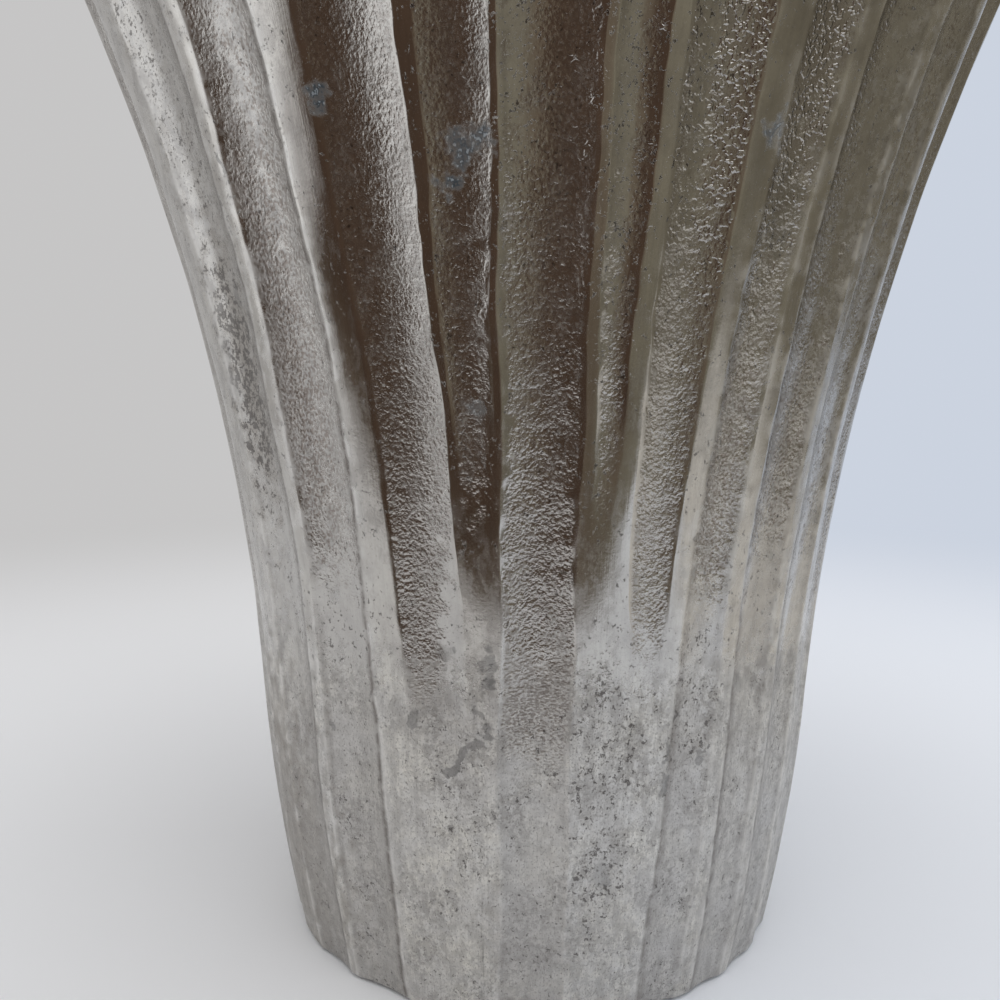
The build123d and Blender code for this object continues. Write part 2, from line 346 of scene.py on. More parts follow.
# Stains, and worn, pebbly and pitted patches of the casting: degrees from the front, and millimetres
Mark = namedtuple("Mark", "angle height wide tall strength")
GREY_STAINS = (
    Mark(-6.9, 85.5, 1.6, 4.4, 0.75),
    Mark(-6.8, 81.4, 1.7, 1.5, 1.0),
    Mark(-12.6, 87.2, 0.6, 1.5, 1.0),
    Mark(-14.2, 86.6, 2.0, 2.2, 0.5),
    Mark(-19.9, 72.0, 1.8, 2.6, 0.8),
    Mark(23.1, 64.6, 0.9, 2.4, 0.8),
    Mark(23.1, 57.3, 1.1, 3.6, 0.8),
    Mark(30.4, 61.9, 1.3, 1.5, 0.8),
    Mark(38.0, 76.7, 1.8, 3.2, 0.5),
    Mark(12.7, 38.0, 2.6, 3.0, 0.5),
    Mark(-38.0, 66.1, 0.9, 1.4, 0.7),
    Mark(-41.1, 185.0, 1.0, 2.2, 0.9),
    Mark(-45.1, 195.1, 1.0, 2.4, 0.8),
    Mark(-48.5, 160.7, 2.0, 3.0, 0.6),
    Mark(31.0, 176.0, 4.0, 9.0, 0.4),
    Mark(150.0, 120.0, 3.0, 5.0, 0.6),
    Mark(-140.0, 80.0, 2.5, 4.0, 0.7),
    Mark(100.0, 60.0, 2.0, 3.5, 0.7),
    Mark(-95.0, 95.0, 2.2, 3.0, 0.7),
)
Stroke = namedtuple("Stroke", "angle height end_angle end_height wide strength")
GREY_STROKES = (
    Stroke(-14.1, 60.4, -12.6, 63.0, 1.5, 0.9),
    Stroke(-12.6, 63.0, -10.6, 66.3, 1.2, 0.9),
    Stroke(-10.6, 66.3, -8.6, 68.6, 1.1, 0.8),
    Stroke(-8.6, 68.6, -6.9, 70.0, 1.1, 0.8),
    Stroke(-6.9, 70.0, -7.0, 72.5, 1.1, 0.8),
    Stroke(-7.0, 72.5, -9.0, 75.3, 0.7, 0.7),
    Stroke(-11.0, 66.0, -9.8, 64.2, 0.7, 0.5),
)
BLUE_STAINS = (
    Mark(-24.0, 193.5, 2.6, 3.2, 1.0),
    Mark(-7.6, 184.6, 5.4, 4.0, 0.9),
    Mark(-9.4, 178.4, 3.0, 2.8, 1.0),
    Mark(26.8, 188.1, 2.4, 3.4, 0.9),
    Mark(-8.1, 138.4, 2.6, 2.6, 0.5),
    Mark(170.0, 190.0, 3.0, 3.0, 0.8),
    Mark(-120.0, 150.0, 2.4, 3.0, 0.7),
)
WORN_PATCHES = (
    Mark(-1.6, 208.0, 4.6, 28.0, 0.64),
    Mark(-4.8, 138.0, 2.6, 34.0, 0.7),
    Mark(5.4, 132.0, 2.6, 30.0, 0.45),
    Mark(9.2, 200.0, 4.4, 45.0, 0.64),
    Mark(17.4, 196.0, 2.8, 40.0, 0.6),
    Mark(30.6, 172.0, 5.0, 16.0, 0.4),
    Mark(-35.0, 212.0, 5.0, 36.0, 0.4),
    Mark(-11.6, 86.0, 4.4, 28.0, 0.8),
    Mark(-52.0, 200.0, 14.0, 60.0, 0.6),
    Mark(46.0, 190.0, 9.0, 50.0, 0.6),
    Mark(172.0, 150.0, 6.0, 60.0, 0.8),
    Mark(-100.0, 170.0, 5.0, 50.0, 0.8),
    Mark(95.0, 200.0, 5.0, 40.0, 0.8),
)
PEBBLE_PATCHES = (
    Mark(26.0, 212.0, 26.0, 48.0, 1.0),
    Mark(-158.0, 230.0, 40.0, 60.0, 0.9),
    Mark(120.0, 225.0, 30.0, 50.0, 0.9),
    Mark(-75.0, 235.0, 30.0, 50.0, 0.8),
)
PITTED_PATCHES = (
    Mark(-51.0, 144.0, 7.0, 26.0, 3.6),
    Mark(-44.0, 185.0, 5.0, 22.0, 0.7),
    Mark(-50.0, 205.0, 14.0, 40.0, 0.6),
    Mark(-31.0, 195.0, 4.0, 25.0, 0.6),
    Mark(12.0, 70.0, 7.0, 22.0, 0.8),
    Mark(12.6, 38.0, 5.5, 11.0, 1.2),
    Mark(-10.0, 84.0, 8.0, 14.0, 0.15),
    Mark(-12.0, 50.0, 8.0, 16.0, 0.5),
    Mark(27.0, 72.0, 6.0, 24.0, 0.6),
    Mark(-1.0, 200.0, 6.0, 42.0, 0.8),
    Mark(10.0, 195.0, 5.0, 50.0, 0.8),
    Mark(18.0, 190.0, 4.0, 42.0, 0.6),
    Mark(135.0, 60.0, 9.0, 22.0, 0.9),
    Mark(-110.0, 70.0, 9.0, 20.0, 0.8),
    Mark(178.0, 60.0, 9.0, 24.0, 0.8),
    Mark(92.0, 66.0, 8.0, 20.0, 0.7),
)
# Tarnished patches; the strongest, low on the left of the foot, is painted shade for the shadowed table that
# the foot mirrors there
TARNISH_AND_SHADE_PATCHES = (
    Mark(-60.0, 26.0, 26.0, 44.0, 1.5),
    Mark(-49.5, 147.0, 7.0, 32.0, 1.6),
    Mark(43.0, 108.0, 9.0, 36.0, 0.7),
    Mark(41.0, 152.0, 8.0, 36.0, 0.35),
    Mark(18.5, 146.0, 6.0, 34.0, 0.45),
    Mark(28.5, 214.0, 10.0, 26.0, 0.45),
    Mark(-47.0, 208.0, 14.0, 50.0, 0.4),
    Mark(-38.0, 12.0, 14.0, 16.0, 0.5),
    Mark(0.4, 20.0, 8.0, 34.0, 0.75),
    Mark(13.0, 32.0, 8.0, 28.0, 0.3),
    Mark(40.0, 16.0, 16.0, 24.0, 0.5),
    Mark(150.0, 24.0, 30.0, 30.0, 0.7),
    Mark(-140.0, 20.0, 26.0, 30.0, 0.6),
)
DULL_PATCHES = (
    Mark(-54.0, 175.0, 16.0, 120.0, 1.0),
    Mark(-37.5, 150.0, 8.0, 46.0, 1.0),
    Mark(-34.5, 215.0, 5.0, 70.0, 1.0),
    Mark(52.0, 170.0, 22.0, 110.0, 0.8),
    Mark(28.6, 112.0, 7.0, 40.0, 0.8),
    Mark(41.0, 104.0, 7.0, 40.0, 0.8),
    Mark(150.0, 170.0, 50.0, 90.0, 0.9),
    Mark(-120.0, 190.0, 50.0, 90.0, 0.9),
)
WARP = Relief(3.2 * MM, 5.0 * MM, 0)  # how far the stains are pushed about
PATCH_EDGE = Relief(5.0 * MM, 0.28, 21)  # how ragged the patches' edges are
PATCH_CORE = 0.6  # where a patch starts to fade, as a share of its size, and where it ends
PATCH_RIM = 1.25


def patches(marks, grid):
    """Strength of the strongest patch at each point, with ragged edges."""
    total = np.zeros(grid.angle.shape)
    ragged = relief(PATCH_EDGE, grid.angle, grid.height)
    for mark in marks:
        turn = np.remainder(grid.angle - np.radians(mark.angle) + np.pi, 2.0 * np.pi) - np.pi
        across = turn * grid.radius / (mark.wide * MM)
        above = (grid.height - mark.height * MM) / (mark.tall * MM)
        faded = smooth_step(np.hypot(across, above) + ragged, PATCH_CORE, PATCH_RIM)
        total = np.maximum(total, mark.strength * (1.0 - faded))
    return total


def make_piece(name, points, faces):
    """Smooth-shaded mesh object in the scene."""
    mesh = bpy.data.meshes.new(name)
    mesh.from_pydata(points, [], faces)
    mesh.shade_smooth()
    piece = bpy.data.objects.new(name, mesh)
    bpy.context.scene.collection.objects.link(piece)
    return piece


def ring_faces(rows, columns):
    """Quads of a grid that closes in both directions."""
    row, column = np.meshgrid(np.arange(rows), np.arange(columns), indexing="ij")
    above, beside = (row + 1) % rows, (column + 1) % columns
    low, high = row * columns, above * columns
    corners = [low + column, low + beside, high + beside, high + column]
    return np.stack(corners, axis=-1).reshape(-1, 4)


def unroll(mesh, radius, height):
    """Texture map of a closed grid, with rows spaced by their distance on the surface."""
    rows, columns = radius.shape
    step = np.hypot(np.diff(radius[:, 0], append=radius[0, 0]), np.diff(height[:, 0], append=height[0, 0]))
    place = np.concatenate([[0.0], np.cumsum(step + ROW_MARGIN)])
    place = place / place[-1]
    row, column = np.meshgrid(np.arange(rows), np.arange(columns), indexing="ij")
    left, right = column / columns, (column + 1) / columns
    low, high = place[row], place[row + 1]
    corners = np.stack([left, low, right, low, right, high, left, high], axis=-1)
    layer = mesh.uv_layers.new(name="OFBake")
    layer.data.foreach_set("uv", corners.astype(np.float32).ravel())


def make_casting():
    """The fluted casting as one closed skin, with its grain and worn patches kept on its points."""
    grid = Grid(*(np.vstack(both) for both in zip(outside_grid(), inside_grid())))
    side, depth = grid.radius * np.sin(grid.angle), -grid.radius * np.cos(grid.angle)
    points = np.stack([side, depth, grid.height], axis=-1).reshape(-1, 3)
    piece = make_piece("cast_vase", points, ring_faces(*grid.angle.shape))
    unroll(piece.data, grid.radius, grid.height)
    # The edge values are a painted highlight along the flutes' edges
    kept = {
        "grain": grid.grain * (1.0 - patches(WORN_PATCHES, grid)),
        "edge": grid.edge,
        "flute": grid.share,
        "dirt": grid.dirt,
        "pebbles": patches(PEBBLE_PATCHES, grid),
        "pitted": patches(PITTED_PATCHES, grid),
        "tarnish_and_shade": np.maximum(patches(TARNISH_AND_SHADE_PATCHES, grid), grid.soot),
        "dull": patches(DULL_PATCHES, grid),
    }
    for name, values in kept.items():
        attribute = piece.data.attributes.new(name, "FLOAT", "POINT")
        attribute.data.foreach_set("value", np.ascontiguousarray(values, dtype=np.float32).ravel())
    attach(piece, "vase")
    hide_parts("vase_body")
    return piece


# Shader nodes
# A climb is eased from its start to its end while a value goes from low to high. A noise has features of
# about one size in millimetres, levels at which a pattern of it begins and is full, and bumps of a height in
# millimetres. A coat covers the metal under it with a colour, at some strength.
Climb = namedtuple("Climb", "low high start end", defaults=(0.0, 1.0))
Noise = namedtuple("Noise", "size detail roughness low high height", defaults=(2.0, 0.5, 0.0, 1.0, 0.0))
Coat = namedtuple("Coat", "strength colour")
NUMBER_OPERATIONS = ("DISTANCE", "DOT_PRODUCT", "LENGTH")  # the vector operations that give a number
MIX_FACTOR, MIX_FIRST, MIX_SECOND, MIX_RESULT = 0, 6, 7, 2  # the colour sockets of a mix node
NOISE_MEAN = 0.5


class Value:
    """What a shader node gives. Values that are numbers join in sums and products."""

    def __init__(self, tree, socket):
        self.tree = tree
        self.socket = socket

    def __add__(self, other):
        return calculate("ADD", self, other)

    def __sub__(self, other):
        return calculate("SUBTRACT", self, other)

    def __rsub__(self, other):
        return calculate("SUBTRACT", other, self)

    def __mul__(self, other):
        return calculate("MULTIPLY", self, other)


def add(kind, inputs, output=0, tree=None, **settings):
    """Output of a new node, whose inputs are plain or come from other nodes."""
    tree = tree or next(value.tree for value in inputs.values() if isinstance(value, Value))
    node = tree.nodes.new(kind)
    for name, value in settings.items():
        setattr(node, name, value)
    for name, value in inputs.items():
        if isinstance(value, Value):
            tree.links.new(value.socket, node.inputs[name])
        else:
            node.inputs[name].default_value = value
    return Value(tree, node.outputs[output])


def show(shader, output="ShaderNodeOutputMaterial"):
    node = shader.tree.nodes.new(output)
    shader.tree.links.new(shader.socket, node.inputs["Surface"])


def rgb(red, green, blue):
    return (red, green, blue, 1.0)


def calculate(operation, *values):
    return add("ShaderNodeMath", dict(enumerate(values)), operation=operation)


def larger(first, second):
    return calculate("MAXIMUM", first, second)


def combine(operation, *vectors):
    """Vector or number that a vector operation gives."""
    output = "Value" if operation in NUMBER_OPERATIONS else "Vector"
    return add("ShaderNodeVectorMath", dict(enumerate(vectors)), output, operation=operation)


def ramp(value, climb):
    inputs = {"Value": value, "From Min": climb.low, "From Max": climb.high}
    inputs |= {"To Min": climb.start, "To Max": climb.end}
    return add("ShaderNodeMapRange", inputs, "Result", interpolation_type="SMOOTHSTEP")


def blend_colours(factor, first, second):
    inputs = {MIX_FACTOR: factor, MIX_FIRST: first, MIX_SECOND: second}
    return add("ShaderNodeMix", inputs, MIX_RESULT, data_type="RGBA")


def coated(metal, share, coat):
    return blend_colours(share * coat.strength, metal, coat.colour)


def noise(place, kind):
    inputs = {"Vector": place, "Scale": 1.0 / (kind.size * MM), "Detail": kind.detail}
    inputs["Roughness"] = kind.roughness
    return add("ShaderNodeTexNoise", inputs, "Fac")


def levels(kind):
    return Climb(kind.low, kind.high)


def pattern(place, kind):
    return ramp(noise(place, kind), levels(kind))


def stretched(place, scale):
    return add("ShaderNodeMapping", {"Vector": place, "Scale": scale}, "Vector")


def coordinate(place, axis):
    return add("ShaderNodeSeparateXYZ", {"Vector": place}, axis)


def painted(tree, name):
    """A value that is kept on the mesh's points."""
    return add("ShaderNodeAttribute", {}, "Fac", tree, attribute_name=name)


def bump(height_in_mm):
    return add("ShaderNodeBump", {"Height": height_in_mm, "Distance": MM}, "Normal")


def new_material(name):
    """Empty material with its node tree."""
    material = bpy.data.materials.new(name)
    material.use_nodes = True
    material.node_tree.nodes.clear()
    return material, material.node_tree


def part_material(name):
    """Empty material, and the place on the object that its textures go by."""
    material, tree = new_material(name)
    return material, add("ShaderNodeTexCoord", {}, "Object", tree)


def around(place, squeeze):
    """Place on the vase's skin, with the height squeezed, for marks that run up and down."""
    heading = combine("NORMALIZE", combine("MULTIPLY", place, (1.0, 1.0, 0.0)))
    height = combine("MULTIPLY", place, (0.0, 0.0, squeeze))
    return combine("MULTIPLY_ADD", heading, (MEAN_RADIUS, MEAN_RADIUS, 0.0), height)


# Stains of the casting
STAIN_RIM = 1.05  # where a stain ends, as a share of its size, and where it starts to fade
STROKE_CORE = 0.7
GREY_CORE = 0.7
CHALK_CORE = 0.4
STAIN_RAGGED = 1.8
WARP_DETAIL = 2.0


def on_skin(angle, height):
    """Place of a mark on the unrolled skin, from degrees and millimetres."""
    turn = np.radians(angle)
    return np.array((MEAN_RADIUS * np.sin(turn), -MEAN_RADIUS * np.cos(turn), height * MM))


def warped_skin(place):
    """Place on the vase's skin, pushed about so that marks come out uneven."""
    inputs = {"Vector": place, "Scale": 1.0 / WARP.size, "Detail": WARP_DETAIL}
    push = combine("SUBTRACT", add("ShaderNodeTexNoise", inputs, "Color"), (NOISE_MEAN,) * 3)
    return combine("MULTIPLY_ADD", push, (WARP.height,) * 3, around(place, 1.0))


def strokes(place, lines, ragged):
    """Strength of the strongest stroke, with ragged edges."""
    skin = warped_skin(place)
    total = 0.0
    for line in lines:
        start = on_skin(line.angle, line.height)
        run = on_skin(line.end_angle, line.end_height) - start
        from_start = combine("SUBTRACT", skin, tuple(start))
        along = combine("DOT_PRODUCT", from_start, tuple(run / np.dot(run, run)))
        along = add("ShaderNodeClamp", {"Value": along})
        far = combine("DISTANCE", from_start, combine("MULTIPLY", tuple(run), along))
        fade = Climb(STROKE_CORE, STAIN_RIM, line.strength, 0.0)
        total = larger(total, ramp(far * (1.0 / (line.wide * MM)) + ragged, fade))
    return total


def stains(place, marks, ragged, core):
    """Strength of the strongest stain, which fades from its core out to a ragged edge."""
    skin = warped_skin(place)
    total = 0.0
    for mark in marks:
        wide = mark.wide * MM * MEAN_RADIUS / float(ridge_radius(mark.height * MM))
        flatten = np.array((1.0, 1.0, wide / (mark.tall * MM)))
        middle = on_skin(mark.angle, mark.height) * flatten
        far = combine("DISTANCE", combine("MULTIPLY", skin, tuple(flatten)), tuple(middle))
        fade = Climb(core, STAIN_RIM, mark.strength, 0.0)
        total = larger(total, ramp(far * (1.0 / wide) + ragged, fade))
    return total


# Relief of the casting
GRAIN_RAGGED = 0.9
GRAIN_LEVELS = Climb(0.2, 0.85)
GRAIN_DEPTH = Climb(95.0 * MM, 145.0 * MM, 0.3, 0.175)  # in millimetres, over the height
FOOT_RAGGED = 25.0 * MM
FOOT_LOOK = Climb(94.0 * MM, 70.0 * MM)  # where the paler, pitted look of the foot begins and is full
RAGGED = Noise(2.4, 3.0)
RIPPLE = Noise(0.66)  # the grain at the foot, and the grain above it
PEBBLE = Noise(0.64)
RIPPLE_STRETCH = (1.0, 1.0, 1.4)
PEBBLE_STRETCH = (1.0, 1.0, 0.85)
LUMPS = Noise(1.6, 1.0, height=0.11)
CLODS = Noise(2.6, 3.0, 0.6, height=0.16)
STONES = Noise(1.15, 1.0, low=0.46, high=0.64, height=0.2)
FINE_ON_STONES = Climb(0.0, 1.0, 1.0, 0.6)
BRUSHED = Noise(0.35, height=0.007)
BRUSH_SQUEEZE = 0.02
SATIN = Noise(0.7, height=0.005)
CLUSTERS = Noise(9.0, low=0.36, high=0.64)  # where wear and pits gather
WEAR = Noise(1.5, 5.0, 0.72, 0.46, 0.57, -0.03)
WEAR_IN_CLUSTERS = Climb(0.0, 1.0, 0.4, 1.0)
WEAR_AT_FOOT = Climb(0.0, 1.0, 0.05, 1.0)
PITS = Noise(1.1, 4.0, 0.7, 0.665, 0.69, -0.12)
PITS_IN_CLUSTERS = 0.055
PITS_AT_FOOT = Climb(0.0, 1.0, 0.03, 0.07)
SPECKS = Noise(0.7, 3.0, 0.6, 0.61, 0.66)
SPECKS_IN_PATCHES = Climb(0.25, 0.6, 0.0, 0.7)
BLOTS = Noise(2.0, 4.0, 0.65, 0.535, 0.58)
BLOTS_IN_PATCHES = Climb(1.4, 2.6)
BLOTS_RAGGED = 3.0
Skin = namedtuple("Skin", "ragged grain foot upper recess wear pits fine gaps relief")


def cast_pits(place, ragged, foot, clusters):
    """Pores of the casting, with more of them, specks and blots in its pitted patches."""
    pitted = painted(place.tree, "pitted")
    opened = pitted * ramp(foot, PITS_AT_FOOT) + clusters * PITS_IN_CLUSTERS
    pores = ramp(noise(stretched(place, PEBBLE_STRETCH), PITS) + opened, levels(PITS))
    specks = pattern(place, SPECKS) * ramp(pitted + ragged, SPECKS_IN_PATCHES)
    blots = pattern(place, BLOTS) * ramp(pitted + ragged * BLOTS_RAGGED, BLOTS_IN_PATCHES)
    return larger(larger(pores, specks), blots)


def cast_skin(place):
    """Grain in the flutes, brushed, worn and pitted metal elsewhere, and their relief in millimetres."""
    ragged = noise(place, RAGGED) - NOISE_MEAN
    grain = ramp(painted(place.tree, "grain") + ragged * GRAIN_RAGGED, GRAIN_LEVELS)
    height = coordinate(place, "Z")
    foot = ramp(height + ragged * FOOT_RAGGED, FOOT_LOOK)
    upper = 1.0 - foot
    clusters = pattern(place, CLUSTERS)
    recess = noise(place, WEAR)
    wear = ramp(recess, levels(WEAR)) * ramp(clusters, WEAR_IN_CLUSTERS) * ramp(foot, WEAR_AT_FOOT)
    pits = cast_pits(place, ragged, foot, clusters)

    ripple = noise(stretched(place, RIPPLE_STRETCH), RIPPLE)
    pebble = noise(stretched(place, PEBBLE_STRETCH), PEBBLE)
    fine = ripple * foot + pebble * upper
    stony = painted(place.tree, "pebbles")
    stones = pattern(place, STONES)
    rough = (fine - NOISE_MEAN) * ramp(height, GRAIN_DEPTH) * ramp(stony, FINE_ON_STONES)
    rough = rough + (noise(place, LUMPS) - NOISE_MEAN) * LUMPS.height
    rough = rough + (noise(place, CLODS) - NOISE_MEAN) * upper * CLODS.height
    rough = rough + stones * stony * STONES.height
    smooth = noise(around(place, BRUSH_SQUEEZE), BRUSHED) * BRUSHED.height
    smooth = smooth + noise(place, SATIN) * SATIN.height + wear * WEAR.height + pits * PITS.height
    relief_height = smooth * (1.0 - grain) + rough * grain
    gaps = stony * grain * (1.0 - stones)
    return Skin(ragged, grain, foot, upper, recess, wear, pits, fine, gaps, relief_height)


# Colours and roughness of the casting
BURNISHED_METAL = rgb(0.48, 0.46, 0.43), rgb(0.53, 0.51, 0.475)
PALE_METAL = rgb(0.612, 0.597, 0.57), rgb(0.69, 0.667, 0.612)
CLOUDS = Noise(13.0, 5.0, 0.65, 0.38, 0.62)
STREAKS = Noise(0.6, 3.0, low=0.4, high=0.7)
STREAK_SQUEEZE = 0.05
STREAK_COAT = Coat(0.3, rgb(0.38, 0.365, 0.345))
PATINA = Noise(4.0, 5.0, 0.68, 0.43, 0.62)
PATINA_SQUEEZE = 0.6
PATINA_UPWARDS = Climb(0.0, 1.0, 0.52, 0.28)
PATINA_WHERE_DULL = 0.42
PATINA_COAT = Coat(1.0, rgb(0.34, 0.325, 0.31))
BLEACH = Noise(1.8, 5.0, 0.72, 0.46, 0.6)
BLEACH_AT_FOOT = 0.75
BLEACH_COAT = Coat(0.42, rgb(0.64, 0.635, 0.63))
# Tarnish, with painted shade in the flutes at the foot and low on the foot's left
TARNISH_AND_SHADE_COAT = Coat(0.5, rgb(0.3, 0.27, 0.235))
FLUTE_COAT = Coat(0.25, rgb(0.54, 0.535, 0.53))
FLECKS = Noise(0.5, 3.0, 0.65, 0.54, 0.64)
FLECK_SQUEEZE = 0.8
FLECKS_AT_FOOT = Climb(0.0, 1.0, 0.16, 0.66)
FLECK_COAT = Coat(1.0, rgb(0.26, 0.245, 0.23))
WEAR_COAT = Coat(0.5, rgb(0.3, 0.285, 0.27))
# Painted shade, partly oxide, in the grain's hollows and between its stones, darker up the vase and in dull
# patches
CREVICE_LEVELS = Climb(0.6, 0.4)
CREVICES_IN_GRAIN = Climb(0.02, 0.5)
CREVICES_UPWARDS = Climb(0.0, 1.0, 0.5, 0.32)
CREVICES_WHERE_DULL = 0.45
CREVICES_LOST = 0.2  # how many of the crevices go where the grain fades out
GAPS_BETWEEN_STONES = 0.42
CREVICE_SHADE_COAT = Coat(1.0, rgb(0.235, 0.195, 0.17))
TOP_LEVELS = Climb(0.48, 0.6)
TOP_COAT = Coat(0.7, rgb(0.7, 0.68, 0.65))
# Painted shade in the crease along each flute's edge
CREASE_SHADE_LEVELS = Climb(-0.12, 0.08, 0.45, 0.95)
CREASE_SHADE_COAT = Coat(1.0, rgb(0.17, 0.15, 0.135))
PIT_COAT = Coat(0.8, rgb(0.11, 0.1, 0.095))
# Painted highlight along the flutes' edges, broken up in patches
HIGHLIGHT_BREAKS = Noise(6.0)
HIGHLIGHT_BREAK_LEVELS = Climb(0.4, 0.6, 0.2, 1.0)
EDGE_HIGHLIGHT_AT_FOOT = Climb(0.0, 1.0, 0.7, 0.8)
EDGE_HIGHLIGHT_COAT = Coat(1.0, rgb(0.78, 0.77, 0.75))
GREY_LEVELS = Climb(0.4, 0.6, 0.85, 0.55)
GREY_COAT = Coat(1.0, rgb(0.2, 0.195, 0.19))
CHALK_LEVELS = Climb(0.38, 0.54, 0.6, 1.0)
POWDER_LEVELS = Climb(0.55, 0.64)
POWDER = rgb(0.05, 0.062, 0.072), rgb(0.27, 0.3, 0.32)
POWDER_COVER = 0.7  # how much of the metal's shine the powder hides
GLINT_LEVELS = Climb(0.56, 0.68)
ROUGHNESS = Climb(0.0, 1.0, 0.1, 0.17)  # from bright metal to patina, and what else adds to it
ROUGH_GRAIN = 0.1
ROUGH_DULL = 0.08
ROUGH_BLEACH = 0.12
ROUGH_FOOT = 0.22
ROUGH_EDGE = 0.4
ROUGH_GLINTS = 0.08


def cast_crevice_shade(skin, dull):
    """Painted shade, partly oxide, in the gaps of the grain, fewer where it fades out, and between the
    stones.
    """
    hollow = ramp(skin.fine + (1.0 - skin.grain) * CREVICES_LOST, CREVICE_LEVELS)
    darkened = ramp(skin.upper, CREVICES_UPWARDS) + dull * CREVICES_WHERE_DULL
    crevices = hollow * ramp(skin.grain, CREVICES_IN_GRAIN) * darkened
    return larger(crevices, skin.gaps * GAPS_BETWEEN_STONES)


def cast_stains(place, skin, metal):
    """Metal under its grey stains and powdery blue ones, and where it is powdery."""
    ragged = skin.ragged * STAIN_RAGGED
    grey = larger(stains(place, GREY_STAINS, ragged, GREY_CORE), strokes(place, GREY_STROKES, ragged))
    metal = coated(metal, grey * ramp(skin.recess, GREY_LEVELS), GREY_COAT)
    chalk = stains(place, BLUE_STAINS, ragged, CHALK_CORE) * ramp(skin.fine, CHALK_LEVELS)
    powder = blend_colours(ramp(skin.fine, POWDER_LEVELS), *POWDER)
    return blend_colours(chalk, metal, powder), chalk


def cast_aluminium():
    """Raw aluminium: pebbly sand grain in the flutes, burnished ridges, and a paler, pitted foot."""
    material, place = part_material("cast_aluminium")
    skin = cast_skin(place)
    dull = painted(place.tree, "dull")
    clouds = pattern(place, CLOUDS)
    metal = blend_colours(clouds, *PALE_METAL)
    metal = blend_colours(skin.upper, metal, blend_colours(clouds, *BURNISHED_METAL))
    metal = coated(metal, pattern(around(place, STREAK_SQUEEZE), STREAKS), STREAK_COAT)
    patina = pattern(around(place, PATINA_SQUEEZE), PATINA)
    aged = ramp(skin.upper, PATINA_UPWARDS) + dull * PATINA_WHERE_DULL
    metal = coated(metal, patina * aged, PATINA_COAT)
    bleach = pattern(place, BLEACH) * larger(dull, skin.foot * BLEACH_AT_FOOT)
    metal = coated(metal, bleach, BLEACH_COAT)
    # Tarnish, with painted shade in the flutes at the foot and low on the foot's left
    metal = coated(metal, painted(place.tree, "tarnish_and_shade"), TARNISH_AND_SHADE_COAT)
    metal = coated(metal, painted(place.tree, "flute"), FLUTE_COAT)
    flecks = pattern(around(place, FLECK_SQUEEZE), FLECKS) * ramp(skin.foot, FLECKS_AT_FOOT)
    metal = coated(metal, flecks, FLECK_COAT)
    metal = coated(metal, skin.wear, WEAR_COAT)
    # Painted shade, partly oxide, in the grain's hollows and between its stones
    metal = coated(metal, cast_crevice_shade(skin, dull), CREVICE_SHADE_COAT)
    metal = coated(metal, skin.grain * skin.foot * ramp(skin.fine, TOP_LEVELS), TOP_COAT)
    # Painted shade in the crease along each flute's edge, with ragged breaks
    dirt = painted(place.tree, "dirt") * ramp(skin.ragged, CREASE_SHADE_LEVELS)
    metal = coated(metal, dirt, CREASE_SHADE_COAT)
    metal = coated(metal, skin.pits, PIT_COAT)
    # Painted highlight along the flutes' edges, broken up in patches, and none where the crease shade lies
    edge = painted(place.tree, "edge") * ramp(noise(place, HIGHLIGHT_BREAKS), HIGHLIGHT_BREAK_LEVELS)
    edge = edge * ramp(skin.foot, EDGE_HIGHLIGHT_AT_FOOT) * (1.0 - dirt)
    metal = coated(metal, edge, EDGE_HIGHLIGHT_COAT)
    metal, chalk = cast_stains(place, skin, metal)

    glints = skin.grain * skin.upper * ramp(skin.fine, GLINT_LEVELS)
    roughness = ramp(patina, ROUGHNESS) + skin.grain * ROUGH_GRAIN + dull * ROUGH_DULL
    roughness = roughness + bleach * ROUGH_BLEACH + skin.foot * ROUGH_FOOT
    roughness = roughness + edge * ROUGH_EDGE + glints * ROUGH_GLINTS
    inputs = {"Base Color": metal, "Roughness": roughness, "Normal": bump(skin.relief)}
    inputs["Metallic"] = 1.0 - chalk * POWDER_COVER
    show(add("ShaderNodeBsdfPrincipled", inputs))
    return material


# Finishes of the plate, the screws, the rubber, the plastic and the felt
RINGS_SIZE = 1.6 * MM
RINGS_DISTORTION = 0.4
RINGS_DETAIL = 1.0
RINGS_HEIGHT = 0.02
PLATE_CLOUDS = Noise(14.0, 3.0)
PLATE_METAL = rgb(0.55, 0.55, 0.54), rgb(0.66, 0.66, 0.66)
PLATE_ROUGHNESS = Climb(0.3, 0.7, 0.24, 0.36)
SCREW_MARKS = Noise(0.5, height=0.02)
SCREW_METAL = rgb(0.4, 0.4, 0.4), rgb(0.52, 0.52, 0.51)
SCREW_ROUGHNESS = Climb(0.3, 0.7, 0.2, 0.32)
Compound = namedtuple("Compound", "name colours roughness grain")
RUBBER_COLOURS = rgb(0.025, 0.025, 0.025), rgb(0.05, 0.05, 0.048)
PLASTIC_COLOURS = rgb(0.037, 0.037, 0.039), rgb(0.046, 0.046, 0.047)
RUBBER = Compound("gasket_rubber", RUBBER_COLOURS, 0.6, Noise(0.3, height=0.02))
PLASTIC = Compound("liner_plastic", PLASTIC_COLOURS, 0.42, Noise(0.4, height=0.015))
DUST = Noise(11.0, 4.0, low=0.4, high=0.7)
DUST_ROUGHNESS = 0.12
FIBRES = Noise(0.35, 3.0, 0.7, height=0.12)
FIBRE_STRETCH = 0.25
WOOL_LEVELS = Climb(0.75, 1.25)
WOOL = rgb(0.07, 0.065, 0.06), rgb(0.2, 0.19, 0.175)
WOOL_ROUGHNESS = 0.95
WOOL_SHEEN = 0.4


